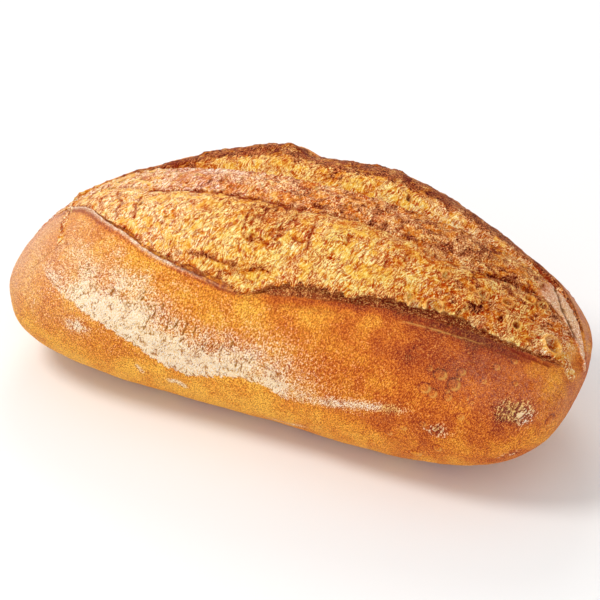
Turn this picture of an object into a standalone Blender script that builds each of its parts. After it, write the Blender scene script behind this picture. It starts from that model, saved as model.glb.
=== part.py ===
"""Sourdough loaf: one long hand-shaped loaf, baked on a flat hearth and opened along two scores.

Metres, +Z up. The loaf lies along X and rests on its flat underside at Z = 0, with the
origin under the middle of its length and width. Its near side faces -Y.

Across the top, from -Y to +Y, lie the near wall, its lip, the first opened score, the
strip of crust between the scores, the second opened score, its standing rim and the far wall.
"""
from math import pi

import bmesh
import bpy
import numpy as np
from mathutils import Vector, noise

# Driving dimensions
LENGTH = 0.281
WIDTH = 0.138
HEIGHT = 0.1015

# The body: how far its height falls towards the ends, how its axis bows, and how blunt it is
TOP_TILT = -0.015
TOP_BOW = -0.255
AXIS_BOW = -0.013
NEAR_BLUNTNESS = (3.4, 3.5)
FAR_BLUNTNESS = (2.25, 2.5)
TOP_BLUNTNESS = (2.5, 2.5)
BASE_BLUNTNESS = (3.0, 2.6)
TOP_SECTION = 2.2
BASE_SECTION = 2.6
BASE_CUT = 0.004
END_BLEND = 0.12
WAIST_HEIGHT = ((-1.0, 0.041), (-0.6, 0.048), (0.0, 0.045), (0.6, 0.0405), (1.0, 0.050))

# Lines along the top: place along the loaf (-1 to 1), place across it (-1 near, 1 far)
LIP = ((-1, 0.10), (-0.84, -0.04), (-0.73, -0.25), (-0.63, -0.45), (-0.54, -0.57), (-0.40, -0.72),
       (-0.24, -0.79), (-0.05, -0.83), (0.11, -0.79), (0.30, -0.72), (0.46, -0.64), (0.64, -0.55),
       (0.81, -0.46), (0.93, -0.34), (1, -0.20))
STRIP_NEAR = ((-1, 0.15), (-0.85, 0.18), (-0.65, 0.04), (-0.54, -0.10), (-0.35, -0.15),
              (-0.14, -0.19), (0.02, -0.19), (0.18, -0.15), (0.43, -0.08), (0.55, -0.03),
              (0.63, 0.06), (0.70, 0.18), (0.80, 0.34), (0.88, 0.37), (1, 0.30))
STRIP_FAR = ((-1, 0.25), (-0.85, 0.38), (-0.63, 0.32), (-0.50, 0.23), (-0.32, 0.15), (-0.17, 0.12),
             (0, 0.12), (0.18, 0.15), (0.33, 0.20), (0.45, 0.28), (0.55, 0.37), (0.65, 0.48),
             (0.76, 0.60), (0.85, 0.64), (0.93, 0.56), (1, 0.42))
RIM = ((-1, 0.32), (-0.85, 0.45), (-0.66, 0.48), (-0.50, 0.55), (-0.35, 0.58), (-0.20, 0.63),
       (0.05, 0.63), (0.20, 0.68), (0.40, 0.73), (0.60, 0.79), (0.72, 0.80), (0.80, 0.77),
       (0.88, 0.70), (1, 0.50))
LINE_GAP = 0.02

# Heights of the relief over the body
LIP_RISE = ((-1, 0), (-0.85, 0.0018), (-0.60, 0.0028), (-0.30, 0.0024), (0, 0.0018), (0.40, 0.0015),
            (0.70, 0.0022), (0.90, 0.0016), (1, 0))
RIM_RISE = ((-1, 0), (-0.80, 0.0020), (-0.60, 0.0004), (-0.45, 0.0025), (-0.33, 0.0044),
            (-0.24, 0.0060), (-0.17, 0.0056), (-0.10, 0.0024), (-0.03, 0.0027), (0.05, 0.0033),
            (0.15, 0.0049), (0.33, 0.0042), (0.50, 0.0026), (0.70, 0.0016), (0.85, 0.0020), (1, 0))
GROOVE_DEPTH = 0.0034
BLOOM_RISE = 0.0030
STRIP_RISE = 0.0014
VALLEY_DEPTH = 0.0065
SHARE_LIP_FALL = 0.45
CRACK = ((-1, 0.72), (0.70, 0.72), (0.78, 0.71), (0.85, 0.67), (0.90, 0.61), (1, 0.42))
CRACK_DEPTH = 0.0034
CRACK_HALF_WIDTH = 0.045
CRACK_START = (0.66, 0.76)
CRACK_END = (0.90, 0.965)
SCORES_START = (-0.93, -0.74)
SCORES_END = (0.88, 0.975)

# Torn crumb inside the scores: ridges that run across the loaf
CRAG_HEIGHT = 0.0030
CRAG_ALONG = 0.011
CRAG_ACROSS = 0.024
LUMP_HEIGHT = 0.0006
LUMP_SIZE = 0.038

# Rows of points round the loaf, from the far waist over the top and back underneath
ROWS_FAR_WALL = 12
ROWS_SECOND_SCORE = 12
ROWS_STRIP = 7
ROWS_FIRST_SCORE = 17
ROWS_NEAR_WALL = 14
ROWS_UNDERSIDE = 28
RINGS = 64

CRUST_COLOR = (0.52, 0.21, 0.045, 1.0)
CRUST_ROUGHNESS = 0.6
SHARP_ANGLE = 1.2


def clear_scene():
    for old in list(bpy.data.objects):
        bpy.data.objects.remove(old, do_unlink=True)


def step(x, start, end):
    """0 before start, 1 after end, and smooth between them."""
    t = np.clip((x - start) / (end - start), 0, 1)
    return t * t * (3 - 2 * t)


def along(s, points):
    """A smooth curve through points, read at each place s along the loaf."""
    places, values = np.array(points, dtype=float).T
    slopes = np.gradient(values, places)
    i = np.clip(np.searchsorted(places, s, side="right") - 1, 0, len(places) - 2)
    span = places[i + 1] - places[i]
    t = np.clip((s - places[i]) / span, 0, 1)
    start = (2 * t**3 - 3 * t**2 + 1) * values[i] + (t**3 - 2 * t**2 + t) * span * slopes[i]
    end = (3 * t**2 - 2 * t**3) * values[i + 1] + (t**3 - t**2) * span * slopes[i + 1]
    return start + end


def left_to_right(s, pair):
    """One value at the left end and another at the right, blended near the middle."""
    share = 1 / (1 + np.exp(-s / END_BLEND))
    return pair[0] * (1 - share) + pair[1] * share


def taper(s, bluntness):
    """The share of the full size at s: 1 in the middle, 0 at both ends."""
    power = left_to_right(s, bluntness)
    return np.clip(1 - np.abs(s) ** power, 0, 1) ** (1 / power)


def score_lines(s):
    """Where the lip, both edges of the strip and the rim lie across the loaf."""
    lip = along(s, LIP)
    near = np.maximum(along(s, STRIP_NEAR), lip + LINE_GAP)
    far = np.maximum(along(s, STRIP_FAR), near + LINE_GAP)
    rim = np.maximum(along(s, RIM), far + LINE_GAP / 2)
    return lip, near, far, rim


def section_angle(across):
    """The angle in the section, 0 at the far waist and pi at the near one."""
    return np.arccos(np.sign(across) * np.abs(across) ** (TOP_SECTION / 2))


def ring_angles(s, row):
    """Rows of points follow the lines of the scores, so that each edge stays crisp."""
    lip, near, far, rim = (section_angle(line) for line in score_lines(s))
    counts = (ROWS_FAR_WALL, ROWS_SECOND_SCORE, ROWS_STRIP,
              ROWS_FIRST_SCORE, ROWS_NEAR_WALL, ROWS_UNDERSIDE)
    knots = np.cumsum((0,) + counts)
    angles = np.stack([0 * s, rim, far, near, lip, 0 * s + pi, 0 * s + 2 * pi])
    zone = np.clip(np.searchsorted(knots, row, side="right") - 1, 0, len(counts) - 1)
    share = (row - knots[zone]) / (knots[zone + 1] - knots[zone])
    each = np.arange(len(s))
    return angles[zone, each] * (1 - share) + angles[zone + 1, each] * share


def score_relief(s, across, half_width):
    """Height of the lip, the scores, the strip, the rim and the crack over the body."""
    lip, near, far, rim = score_lines(s)
    inside = step(s, *SCORES_START) * (1 - step(s, *SCORES_END))
    lip_rise = along(s, LIP_RISE)
    rim_rise = along(s, RIM_RISE)

    down_wall = np.minimum(across - lip, 0)
    near_wall = lip_rise * np.exp(down_wall / SHARE_LIP_FALL * 4)

    q = np.clip((across - lip) / (near - lip), 0, 1)
    groove = GROOVE_DEPTH * np.exp(-(((q - 0.14) / 0.08) ** 2))
    swell = BLOOM_RISE * np.sin(pi * np.clip((q - 0.12) / 0.88, 0, 1)) ** 0.8
    first_score = lip_rise * np.exp(-((q / 0.07) ** 2)) + inside * (swell - groove)

    q = np.clip((across - near) / (far - near), 0, 1)
    strip = inside * STRIP_RISE * np.sin(pi * q) ** 0.5

    q = np.clip((across - far) / (rim - far), 0, 1)
    width = (rim - far) * half_width
    valley = VALLEY_DEPTH * step(width, 0.0015, 0.012) * step(q, 0, 0.12)
    valley = inside * valley * np.exp(-(((q - 0.22) / 0.2) ** 2))
    second_score = rim_rise * step(q, 0.15, 0.92) - valley

    far_wall = rim_rise * np.exp(-(((across - rim) / 0.28) ** 2))
    zones = [across < lip, across < near, across < far, across < rim]
    relief = np.select(zones, [near_wall, first_score, strip, second_score], far_wall)

    shown = step(s, *CRACK_START) * (1 - step(s, *CRACK_END))
    crack = np.exp(-(((across - along(s, CRACK)) / CRACK_HALF_WIDTH) ** 2))
    return relief - CRACK_DEPTH * shown * crack


def torn_share(s, across):
    """1 inside the two opened scores, 0 on the crust."""
    lip, near, far, rim = score_lines(s)
    first = step(across, lip + 0.03, lip + 0.12) * (1 - step(across, near - 0.06, near))
    second = step(across, far, far + 0.06) * (1 - step(across, rim - 0.04, rim + 0.02))
    return (first + second) * step(s, -0.9, -0.75) * (1 - step(s, 0.84, 0.95))


def crags(points, torn):
    """Ridges in the torn crumb, and soft lumps over the whole crust."""
    heights = np.zeros(len(points))
    for i, (x, y, z) in enumerate(points):
        ridge = noise.noise(Vector((x / CRAG_ALONG, y / CRAG_ACROSS, z / CRAG_ACROSS)))
        lump = noise.noise(Vector((x, y, z)) / LUMP_SIZE)
        heights[i] = torn[i] * CRAG_HEIGHT * ridge + LUMP_HEIGHT * lump
    return heights


def loaf_points(s, angle):
    """Points of the loaf at places s along it and angles round its section."""
    waist = along(s, WAIST_HEIGHT)
    near_reach = WIDTH / 2 * taper(s, NEAR_BLUNTNESS)
    far_reach = WIDTH / 2 * taper(s, FAR_BLUNTNESS)
    half_width = (near_reach + far_reach) / 2
    middle = AXIS_BOW * s * s + (far_reach - near_reach) / 2
    full_top = HEIGHT * (1 + TOP_TILT * s + TOP_BOW * s * s)
    over = (full_top - waist) * taper(s, TOP_BLUNTNESS)
    under = (waist + BASE_CUT) * taper(s, BASE_BLUNTNESS)

    upper = np.sin(angle) >= 0
    power = np.where(upper, TOP_SECTION, BASE_SECTION)
    reach = np.where(upper, over, under)
    side = np.sign(np.cos(angle)) * np.abs(np.cos(angle)) ** (2 / power)
    rise = np.abs(np.sin(angle)) ** (2 / power)
    y = side * half_width
    z = waist + np.where(upper, rise, -rise) * reach

    # The section's outward direction carries the relief
    tiny = 1e-6
    out_y = np.sign(side) * np.abs(side) ** (power - 1) / np.maximum(half_width, tiny)
    out_z = np.where(upper, 1, -1) * rise ** (power - 1) / np.maximum(reach, tiny)
    size = np.hypot(out_y, out_z) + tiny

    points = np.stack([s * LENGTH / 2, y + middle, z], axis=1)
    across = np.where(upper, side, np.sign(side))
    relief = np.where(upper, score_relief(s, across, half_width), 0)
    torn = np.where(upper, torn_share(s, across), 0)
    relief = relief + crags(points, torn) * step(z, 0, 0.02)
    points[:, 1] += relief * out_y / size
    points[:, 2] += relief * out_z / size
    points[:, 2] = np.maximum(points[:, 2], 0)
    return points


def centre_on_origin(points):
    """Put the middle of the length and the width over the origin."""
    low = points.min(axis=0)
    high = points.max(axis=0)
    points[:, :2] -= (low + high)[:2] / 2
    return points


def make_loaf():
    rows = (ROWS_FAR_WALL + ROWS_SECOND_SCORE + ROWS_STRIP
            + ROWS_FIRST_SCORE + ROWS_NEAR_WALL + ROWS_UNDERSIDE)
    shape = bmesh.new()
    bmesh.ops.create_uvsphere(shape, u_segments=rows, v_segments=RINGS, radius=1)

    # The sphere's poles become the loaf's two ends, and its segments become the rows
    ball = np.array([vert.co for vert in shape.verts])
    s = np.clip(ball[:, 2], -1, 1)
    row = np.mod(np.arctan2(ball[:, 1], ball[:, 0]), 2 * pi) / (2 * pi) * rows
    row = np.mod(np.round(row, 3), rows)
    points = centre_on_origin(loaf_points(s, ring_angles(s, row)))
    for vert, point in zip(shape.verts, points):
        vert.co = point

    mesh = bpy.data.meshes.new("loaf")
    shape.to_mesh(mesh)
    shape.free()
    mesh.shade_smooth()
    mesh.set_sharp_from_angle(angle=SHARP_ANGLE)
    return bpy.data.objects.new("loaf", mesh)


def crust_material():
    crust = bpy.data.materials.new("baked crust")
    crust.use_nodes = True
    shader = crust.node_tree.nodes["Principled BSDF"]
    shader.inputs["Base Color"].default_value = CRUST_COLOR
    shader.inputs["Roughness"].default_value = CRUST_ROUGHNESS
    shader.inputs["Metallic"].default_value = 0.0
    return crust


def main():
    clear_scene()
    collection = bpy.data.collections.new("sourdough loaf")
    bpy.context.scene.collection.children.link(collection)
    loaf = make_loaf()
    loaf.data.materials.append(crust_material())
    collection.objects.link(loaf)


main()
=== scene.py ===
"""Looks of the sourdough loaf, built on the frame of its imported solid.

Metres, +Z up. The loaf lies along X and rests on Z = 0, with its near side towards -Y. One fine
closed mesh stands for the plain solid. It repeats the solid's form, adds the torn crumb, the
blisters and the cracks as real relief, and carries masks from which its material takes colour.
"""

from math import pi, radians
from types import SimpleNamespace

import bpy
import numpy as np
from mathutils import Matrix, Vector


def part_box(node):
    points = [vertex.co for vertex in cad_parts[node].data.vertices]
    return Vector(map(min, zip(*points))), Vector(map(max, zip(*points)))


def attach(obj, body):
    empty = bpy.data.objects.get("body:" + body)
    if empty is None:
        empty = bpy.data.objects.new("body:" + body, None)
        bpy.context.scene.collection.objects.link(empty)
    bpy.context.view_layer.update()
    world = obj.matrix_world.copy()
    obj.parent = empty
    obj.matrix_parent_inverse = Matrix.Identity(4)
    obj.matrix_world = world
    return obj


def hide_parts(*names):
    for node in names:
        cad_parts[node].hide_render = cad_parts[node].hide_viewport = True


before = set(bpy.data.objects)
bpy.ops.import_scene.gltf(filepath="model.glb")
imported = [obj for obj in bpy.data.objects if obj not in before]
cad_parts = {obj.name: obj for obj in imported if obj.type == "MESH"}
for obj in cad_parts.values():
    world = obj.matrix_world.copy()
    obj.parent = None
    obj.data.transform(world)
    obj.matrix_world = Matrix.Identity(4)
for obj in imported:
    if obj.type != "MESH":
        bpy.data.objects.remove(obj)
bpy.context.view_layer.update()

MM = 0.001

# Driving dimensions: the solid's box, and the body's shares of it under the relief
BOX_LOW, BOX_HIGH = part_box("loaf")
LENGTH = BOX_HIGH.x - BOX_LOW.x
WIDTH = 0.984 * (BOX_HIGH.y - BOX_LOW.y)
HEIGHT = 0.9865 * (BOX_HIGH.z - BOX_LOW.z)
MIDDLE_SHIFT = 0.0005

# The body, as in the solid: how it falls towards the ends, how it bows and how blunt it is
TOP_TILT = -0.015
TOP_BOW = -0.255
AXIS_BOW = -0.013
NEAR_BLUNTNESS = (3.4, 3.5)
FAR_BLUNTNESS = (2.25, 2.5)
TOP_BLUNTNESS = (2.5, 2.5)
BASE_BLUNTNESS = (3.0, 2.6)
TOP_SECTION = 2.2
BASE_SECTION = 2.6
BASE_CUT = 0.004
END_BLEND = 0.12
WAIST_HEIGHT = ((-1.0, 0.041), (-0.6, 0.048), (0.0, 0.045), (0.6, 0.0405), (1.0, 0.050))

# Lines along the top, as in the solid: place along the loaf (-1 to 1), place across it
LIP = ((-1, 0.10), (-0.84, -0.04), (-0.73, -0.25), (-0.63, -0.45), (-0.54, -0.57), (-0.40, -0.72),
       (-0.24, -0.79), (-0.05, -0.83), (0.11, -0.79), (0.30, -0.72), (0.46, -0.64), (0.64, -0.55),
       (0.81, -0.46), (0.93, -0.34), (1, -0.20))
STRIP_NEAR = ((-1, 0.15), (-0.85, 0.18), (-0.65, 0.04), (-0.54, -0.10), (-0.35, -0.15),
              (-0.14, -0.19), (0.02, -0.19), (0.18, -0.15), (0.43, -0.08), (0.55, -0.03),
              (0.63, 0.06), (0.70, 0.18), (0.80, 0.34), (0.88, 0.37), (1, 0.30))
STRIP_FAR = ((-1, 0.25), (-0.85, 0.38), (-0.63, 0.32), (-0.50, 0.23), (-0.32, 0.15), (-0.17, 0.12),
             (0, 0.12), (0.18, 0.15), (0.33, 0.20), (0.45, 0.28), (0.55, 0.37), (0.65, 0.48),
             (0.76, 0.60), (0.85, 0.64), (0.93, 0.56), (1, 0.42))
RIM = ((-1, 0.32), (-0.85, 0.45), (-0.66, 0.48), (-0.50, 0.55), (-0.35, 0.58), (-0.20, 0.63),
       (0.05, 0.63), (0.20, 0.68), (0.40, 0.73), (0.60, 0.79), (0.72, 0.80), (0.80, 0.77),
       (0.88, 0.70), (1, 0.50))
LINE_GAP = 0.02

# Heights of the large relief over the body, as in the solid
LIP_RISE = ((-1, 0), (-0.85, 0.0018), (-0.60, 0.0028), (-0.30, 0.0024), (0, 0.0018), (0.40, 0.0015),
            (0.70, 0.0022), (0.90, 0.0016), (1, 0))
RIM_RISE = ((-1, 0), (-0.80, 0.0020), (-0.60, 0.0004), (-0.45, 0.0025), (-0.33, 0.0044),
            (-0.24, 0.0060), (-0.17, 0.0056), (-0.10, 0.0024), (-0.03, 0.0027), (0.05, 0.0033),
            (0.15, 0.0049), (0.33, 0.0042), (0.50, 0.0026), (0.70, 0.0016), (0.85, 0.0020), (1, 0))
BLOOM_RISE = 0.0030
STRIP_RISE = 0.0014
VALLEY_DEPTH = 0.0065
SHARE_LIP_FALL = 0.45
SCORES_START = (-0.93, -0.74)
SCORES_END = (0.88, 0.975)

# Where along the loaf the far rim begins to be browned
RIM_BROWNS = (-0.78, -0.62)

# Fine relief at the near lip, in millimetres at places along the loaf
FOOT = ((-1, 1.5), (-0.6, 2.2), (-0.3, 2.0), (-0.12, 1.4), (-0.06, -0.2), (-0.02, 0.2), (0.02, 3.6),
        (0.30, 4.2), (0.50, 5.2), (0.66, 5.4), (0.75, 4.0), (0.90, 2.6), (1, 2))
FOOT_RISE = ((-1, 0.3), (-0.8, 0.8), (-0.1, 1.6), (0.05, 2.0), (0.4, 2.2), (0.65, 2.4), (0.8, 1.6),
             (1, 0.2))
BAND_DEPTH = ((-1, 0.3), (-0.7, 0.8), (-0.1, 0.8), (0.05, 1.0), (0.6, 1.5), (0.8, 0.9), (1, 0.2))
LIP_RIDGE = ((-1, 0), (-0.84, 0.1), (-0.78, 0.6), (-0.5, 0.45), (-0.3, 0.3), (-0.1, 0.2), (0.3, 0.3),
             (0.7, 0.7), (0.9, 0.5), (1, 0))

# How far the crumb's strands and the crust's plates lean, how their grain is turned, in degrees, and
# how deep their bumps are
STRAND_LEAN = 0.3
WALL_LEAN = 0.5
CRUMB_TURN = (20, 0, -18)
WALL_TURN = (80, 26, 0)
BUMP_DEPTH = 0.5 * MM

# Rows of points round the loaf, from the far waist over the top and back underneath. Then its rings,
# the angle from each waist to the rows of the base, and the steps that a section is measured in
ROWS = (("far wall", 80), ("second score", 80), ("strip", 50), ("first score", 145),
        ("near wall", 90), ("near side", 100), ("base", 32), ("far side", 50))
RINGS = 830
SIDE_TURN = 1.1
FINE_TURN = 1440

# The photo's camera, and how far to the right and up of the target it looks
PHOTO_PIXELS = 600
AZIMUTH = 23.8
ELEVATION = 35.0
CAMERA_DISTANCE = 1.1
SENSOR = 36.0
FOCAL_LENGTH = 138.6
LOOK_AT = (-0.00429, -0.0039)
TARGET = (0.0, MIDDLE_SHIFT, 0.0459)

# The stage: the floor's size and shade, the room's light, and where the lights aim
FLOOR_SIZE = 8
FLOOR_COLOR = (0.9, 0.9, 0.9, 1)
ROOM_LIGHT = 0.62
LIGHTS_AIM = (0, 0, 0.04)

# Name, place, size, power and colour of each light
LIGHTS = (
    ("key_light", (-0.45, -0.30, 0.85), 0.35, 4.5, (1, 0.98, 0.95)),
    ("front_light", (0.5, -0.8, 0.45), 0.5, 2.0, (1, 1, 1)),
    ("back_light", (-0.3, 0.7, 0.7), 0.5, 2.5, (1, 1, 1)),
)

# The slow wander of what lies along the lip: its size in millimetres and its seed
LIP_WANDER = (9, 61)

# One pixel of the photo on the loaf, one step of the fine grid, and a distance out of reach
PIXEL = MM / 2.1
CELL = 0.33 * MM
FAR_AWAY = 1.0

# Pixels of the photo that single features are read from: first the lines
TEARS = (
    ((266, 191), (252, 205), (246, 219), (239, 231)),
    ((239, 233), (250, 238), (261, 241), (268, 239)),
    ((284, 222), (279, 234), (270, 240), (261, 242)),
    ((314, 228), (307, 244), (303, 252)),
    ((164, 253), (186, 251), (207, 255), (225, 263), (239, 270), (264, 268), (282, 279)),
    ((440, 332), (452, 318), (466, 308), (476, 300)),
)
STROKES = (
    ((242, 231), (246, 217), (254, 203)), ((247, 232), (258, 236)), ((260, 241), (270, 232), (281, 217)),
    ((278, 239), (278, 229), (284, 219)), ((290, 235), (296, 240), (306, 241)),
    ((308, 244), (309, 233), (316, 222)), ((302, 249), (309, 246)), ((262, 222), (264, 213), (270, 207)),
    ((294, 222), (297, 213), (305, 208)), ((262, 242), (270, 244), (282, 242)),
    ((133, 220), (135, 212), (141, 206)), ((160, 224), (163, 216), (170, 212)),
    ((100, 205), (102, 198), (108, 194)), ((384, 268), (386, 260), (392, 256)),
    ((404, 262), (407, 254), (414, 250)), ((345, 246), (348, 238), (354, 234)),
    ((250, 226), (253, 218), (260, 212)), ((286, 232), (289, 222), (296, 216)),
    ((166, 260), (190, 271), (216, 287), (240, 296)), ((176, 261), (203, 275), (232, 290)),
)
CREASES = (
    ((118, 188), (117, 195), (122, 202), (116, 210), (118, 219)),
    ((87, 200), (93, 193), (107, 190), (117, 188)),
    ((150, 193), (141, 195), (137, 201), (134, 211)),
    ((72, 200), (65, 211), (61, 222), (60, 234)),
    ((296, 188), (312, 187), (330, 189)),
    ((409, 192), (408, 200), (414, 199)),
    ((505, 346), (522, 354), (540, 362), (556, 367)),
)
SOFT_CREASES = (
    ((260, 306), (300, 307), (330, 311), (345, 314)),
    ((75, 243), (61, 243), (44, 256), (27, 273)),
    ((450, 328), (470, 338), (492, 348), (520, 358), (545, 368)),
)
TAB_EDGE = ((88, 187), (77, 197), (67, 212), (62, 228))
LIP_LINE = ((392, 320), (412, 323), (432, 328), (452, 334), (472, 340), (492, 346))
TAB = ((84, 194), (74, 203), (66, 215), (62, 228), (60, 240))
END_PATCH = ((546, 338), (557, 349), (566, 361), (573, 374))
END_CRACK = ((533, 260), (547, 277), (559, 294), (565, 312), (573, 330), (578, 345))

# Ovals in the photo: a pixel, and half of the width and of the height in pixels
BLISTERS = (
    (454, 384, 5.5, 5.5), (461, 371, 4.0, 3.2), (457, 378, 2.5, 2.0), (447, 397, 3.4, 3.4),
    (446, 391, 2.4, 2.2), (432, 393, 4.0, 4.0), (424, 388, 5.5, 4.5), (440, 374, 6.0, 4.5),
    (429, 368, 2.4, 2.2), (484, 380, 2.5, 2.5), (497, 367, 3.0, 2.8), (515, 361, 3.0, 2.6),
    (516, 383, 2.4, 2.4), (534, 374, 1.4, 1.4), (471, 402, 2.0, 1.8), (466, 399, 1.6, 1.6),
    (459, 417, 4.0, 3.0), (423, 425, 3.0, 2.4), (402, 427, 4.0, 2.8), (388, 433, 3.5, 2.6),
    (371, 442, 3.0, 2.2), (415, 454, 6.0, 4.0), (437, 449, 4.0, 4.0), (551, 421, 4.0, 6.0),
    (52, 262, 2.2, 2.8), (17, 274, 1.8, 2.4), (34, 300, 2.0, 2.0), (38, 310, 1.8, 1.8),
)
POCKETS = (
    (434, 305, 7.5, 6.0), (415, 303, 5.0, 3.5), (484, 294, 4.5, 6.0), (472, 289, 2.5, 4.5),
    (509, 301, 5.5, 5.0), (447, 275, 3.5, 5.5), (530, 300, 5.0, 6.0), (543, 306, 4.0, 6.0),
    (553, 345, 11.0, 8.0), (410, 296, 3.0, 3.0),
)
# Holes in the crumb, whose insides get painted shade
CAVITIES = ((517, 325, 3.5, 5.0), (574, 364, 2.6, 5.0), (532, 296, 1.6, 2.2), (409, 197, 2.5, 3.5),
            (141, 203, 2.8, 5.0), (560, 341, 1.4, 1.8), (573, 343, 1.4, 1.8))

# The same, and how much browner each is. The spot at (335, 176) is painted shade in a hollow of the second
# score by the far rim.
TOASTED_SPOTS = (
    (276, 214, 32, 24, 0.3), (200, 254, 16, 3, 0.7), (229, 262, 14, 4, 0.75), (255, 268, 16, 3, 0.6),
    (222, 274, 14, 4, 0.4), (246, 280, 12, 4, 0.4), (390, 262, 14, 10, 0.3), (320, 288, 24, 4, 0.7),
    (300, 287, 10, 4, 0.6), (470, 300, 30, 22, 0.2), (152, 194, 16, 3, 0.5), (137, 203, 4, 8, 0.6),
    (315, 266, 34, 14, 0.2), (335, 176, 11, 9, 0.7), (62, 216, 3, 4, 1.0), (70, 204, 3, 3, 0.6),
    (552, 346, 16, 12, -0.7),
)

# The same, and how many millimetres each stands out
BUMPS = (
    (261, 147, 6, 6, 2.0), (291, 145, 10, 6, 1.6), (272, 147, 5, 9, -2.4), (333, 172, 8, 7, -1.4),
    (312, 152, 7, 8, -1.8), (118, 210, 10, 8, 0.8), (95, 203, 12, 8, 0.8), (234, 283, 7, 5, 1.0),
    (250, 290, 10, 6, 1.2), (212, 272, 7, 5, 0.9), (190, 262, 8, 4, 0.8),
)

# The floured patch: its lower edge, and how much flour lies at shares along that edge
FLOUR_EDGE = ((62, 296), (89, 316), (128, 342), (162, 366), (190, 377), (230, 377), (262, 386),
              (285, 401), (340, 410))
FLOUR_ALONG_EDGE = ((0, 0.3), (0.1, 0.85), (0.45, 1), (0.7, 0.7), (1, 0.1))
FLOUR_CRACKS = (
    ((137, 298), (145, 291)), ((135, 306), (144, 296)), ((147, 309), (156, 305)),
    ((143, 331), (147, 321), (150, 314)), ((151, 321), (155, 309)), ((165, 332), (167, 324), (170, 316)),
    ((173, 329), (178, 320)), ((181, 338), (184, 330), (188, 322)), ((179, 344), (183, 338)),
    ((201, 355), (202, 348), (206, 342)), ((210, 351), (214, 343)), ((219, 358), (220, 352), (223, 345)),
    ((234, 372), (236, 361)), ((239, 372), (242, 363)), ((247, 366), (253, 356)),
    ((74, 274), (80, 264)), ((160, 312), (163, 303)), ((192, 336), (196, 327)),
    ((229, 350), (233, 341)), ((268, 380), (272, 372)), ((120, 292), (126, 284)),
    ((109, 296), (114, 288)),
)

# Streaks of flour: a line, its half width in millimetres and how much flour it has
FLOUR_STREAKS = (
    (((162, 380), (176, 383), (190, 391)), 1.8, 0.8),
    (((132, 364), (138, 369), (145, 376)), 1.5, 0.6),
    (((300, 398), (330, 403), (380, 408), (425, 414)), 2.6, 0.45),
    (((255, 415), (285, 424), (315, 430)), 1.6, 0.5),
)

# Ovals with this much flour
FLOUR_SPOTS = ((517, 411, 24, 16, 0.85), (438, 432, 14, 8, 0.7), (512, 455, 20, 7, 0.7),
               (76, 327, 14, 8, 0.6), (440, 348, 50, 22, 0.12), (305, 360, 40, 30, 0.15))

# Blisters on the far side: how many, the seed of their draw, the shares of the rings and the rows that
# they lie between, and their sizes in pixels
FAR_BLISTERS = 34
FAR_BLISTER_DRAW = 140
FAR_BLISTER_RINGS = (0.12, 0.88)
FAR_BLISTER_ROWS = (-40, 25, 60)
FAR_BLISTER_SIZES = (1.6, 4.2)

# Colour attributes of the mesh, with the masks that each holds
MASK_SETS = (
    ("finish", ("crumb", "toast", "flour", "band")),
    ("tint", ("blush", "brown", "crest_and_highlight", "pit")),
    ("marks", ("line", "pale", "ring", "hollow")),
)


# Small tools

def step(x, start, end):
    """0 before start, 1 after end, and smooth between them."""
    t = np.clip((x - start) / (end - start), 0, 1)
    return t * t * (3 - 2 * t)


def between(x, start, full, fade, end):
    """1 from full to fade, 0 before start and after end, and smooth between them."""
    return step(x, start, full) * (1 - step(x, fade, end))


def bump(x, middle, half_width):
    """1 at the middle, falling smoothly to nothing about two half widths away."""
    return np.exp(-(((x - middle) / half_width) ** 2))


def along(s, points):
    """A smooth curve through points, read at each place s along the loaf."""
    places, values = np.array(points, dtype=float).T
    slopes = np.gradient(values, places)
    i = np.clip(np.searchsorted(places, s, side="right") - 1, 0, len(places) - 2)
    span = places[i + 1] - places[i]
    t = np.clip((s - places[i]) / span, 0, 1)
    start = (2 * t**3 - 3 * t**2 + 1) * values[i] + (t**3 - 2 * t**2 + t) * span * slopes[i]
    end = (3 * t**2 - 2 * t**3) * values[i + 1] + (t**3 - t**2) * span * slopes[i + 1]
    return start + end


def gradient_noise(places, seed):
    """Smooth noise between about -1 and 1 at places in 2 or 3 dimensions, one cell per unit."""
    draw = np.random.default_rng(seed)
    table = draw.permutation(256)
    dimensions = places.shape[-1]
    slopes = draw.normal(size=(256, dimensions))
    slopes /= np.linalg.norm(slopes, axis=1, keepdims=True)
    cell = np.floor(places).astype(int)
    inside = places - cell
    fade = inside**3 * (inside * (inside * 6 - 15) + 10)
    total = np.zeros(places.shape[:-1])
    for corner in np.ndindex(*(2,) * dimensions):
        index = np.zeros(places.shape[:-1], dtype=int)
        weight = np.ones(places.shape[:-1])
        for axis, side in enumerate(corner):
            index = table[(index + cell[..., axis] + side) & 255]
            weight *= fade[..., axis] if side else 1 - fade[..., axis]
        total += weight * ((inside - corner) * slopes[index]).sum(axis=-1)
    return total * 1.5


def layered_noise(places, seed, layers, fall):
    """Gradient noise in layers, each twice as fine as the one before."""
    total = 0
    for layer in range(layers):
        total = total + fall**layer * gradient_noise(places * 2**layer, seed + layer)
    return total


def noise_over(loaf, size, seed, layers=1, fall=0.5):
    """Noise over the loaf, whose largest features are this many millimetres wide."""
    return layered_noise(loaf.points / (size * MM), seed, layers, fall)


def cells(places, seed):
    """Distances from flat places to the nearest and next scattered centre, and a draw for each."""
    draw = np.random.default_rng(seed)
    table = draw.permutation(256)
    offsets = draw.uniform(0.1, 0.9, size=(256, 2))
    chances = draw.uniform(size=256)
    cell = np.floor(places).astype(int)
    first = np.full(places.shape[:-1], 9.0)
    second = np.full(places.shape[:-1], 9.0)
    chance = np.zeros(places.shape[:-1])
    for along_x, along_y in np.ndindex(3, 3):
        near = cell + np.array([along_x - 1, along_y - 1])
        index = table[(table[near[..., 0] & 255] + near[..., 1]) & 255]
        gap = np.linalg.norm(near + offsets[index] - places, axis=-1)
        closer = gap < first
        second = np.where(closer, first, np.minimum(second, gap))
        chance = np.where(closer, chances[index], chance)
        first = np.where(closer, gap, first)
    return first, second, chance


# The loaf's form, as in the solid

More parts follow.
